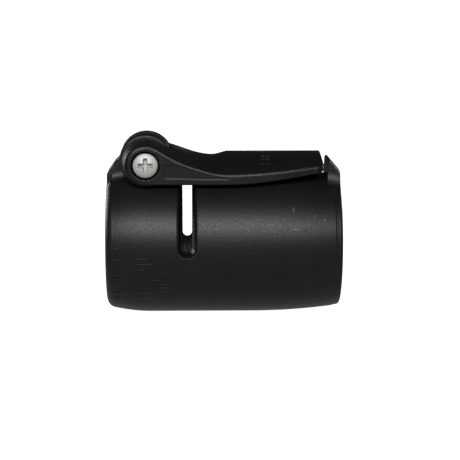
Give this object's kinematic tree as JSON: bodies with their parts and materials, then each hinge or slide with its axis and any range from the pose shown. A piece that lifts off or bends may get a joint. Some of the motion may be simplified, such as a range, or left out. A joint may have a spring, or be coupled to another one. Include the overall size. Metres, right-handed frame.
{
  "type": "quick-release tube clamp collar",
  "caption": "Moulded collar for telescopic tubes: a plain sleeve, a split clamp ring and a flip lever on a cross screw through the ears.",
  "frame": {"origin": "on the tube axis, at the middle of the collar's length", "axes": "+X along the tubes to the mouth of the fixed sleeve, +Z from the tube axis towards the ears and the lever"},
  "size_m": [0.0772, 0.0478, 0.0601],
  "materials": {
    "collar_nylon": "fine spark-eroded grain, satin",
    "lever_nylon": "fine spark-eroded grain, satin",
    "screw_steel": "bright zinc plate",
    "washer_steel": "zinc plate",
    "nut_steel": "zinc plate",
    "nut_nylon": "natural nylon",
    "washer_acetal": "smooth acetal, satin",
    "liner_rubber": "matt elastomer"
  },
  "bodies": {
    "collar": {"clamp_collar": "collar_nylon", "grip_liner": "liner_rubber"},
    "lever": {"cam_lever": "lever_nylon", "near_thrust_washer": "washer_acetal", "far_thrust_washer": "washer_acetal", "head_washer": "washer_steel"},
    "screw": {"pivot_screw": "screw_steel"},
    "nut": {"lock_nut": "nut_steel", "nut_insert": "nut_nylon"}
  },
  "joints": [
    {"name": "lever_pivot", "type": "hinge", "parent": "collar", "child": "lever", "pos_m": [-0.02555, 0, 0.0267], "axis": [0, -1, 0], "range_deg": [0, 130]},
    {"name": "screw_turn", "type": "hinge", "parent": "lever", "child": "screw", "pos_m": [-0.02555, 0, 0.0267], "axis": [0, -1, 0], "range_deg": [0, 360]},
    {"name": "nut_travel", "type": "slide", "parent": "lever", "child": "nut", "axis": [0, 1, 0], "range_m": [0, 0.0007]}
  ],
  "couplings": [
    {"joint": "screw_turn", "follows": "nut_travel", "rad_per_m": 8975}
  ]
}
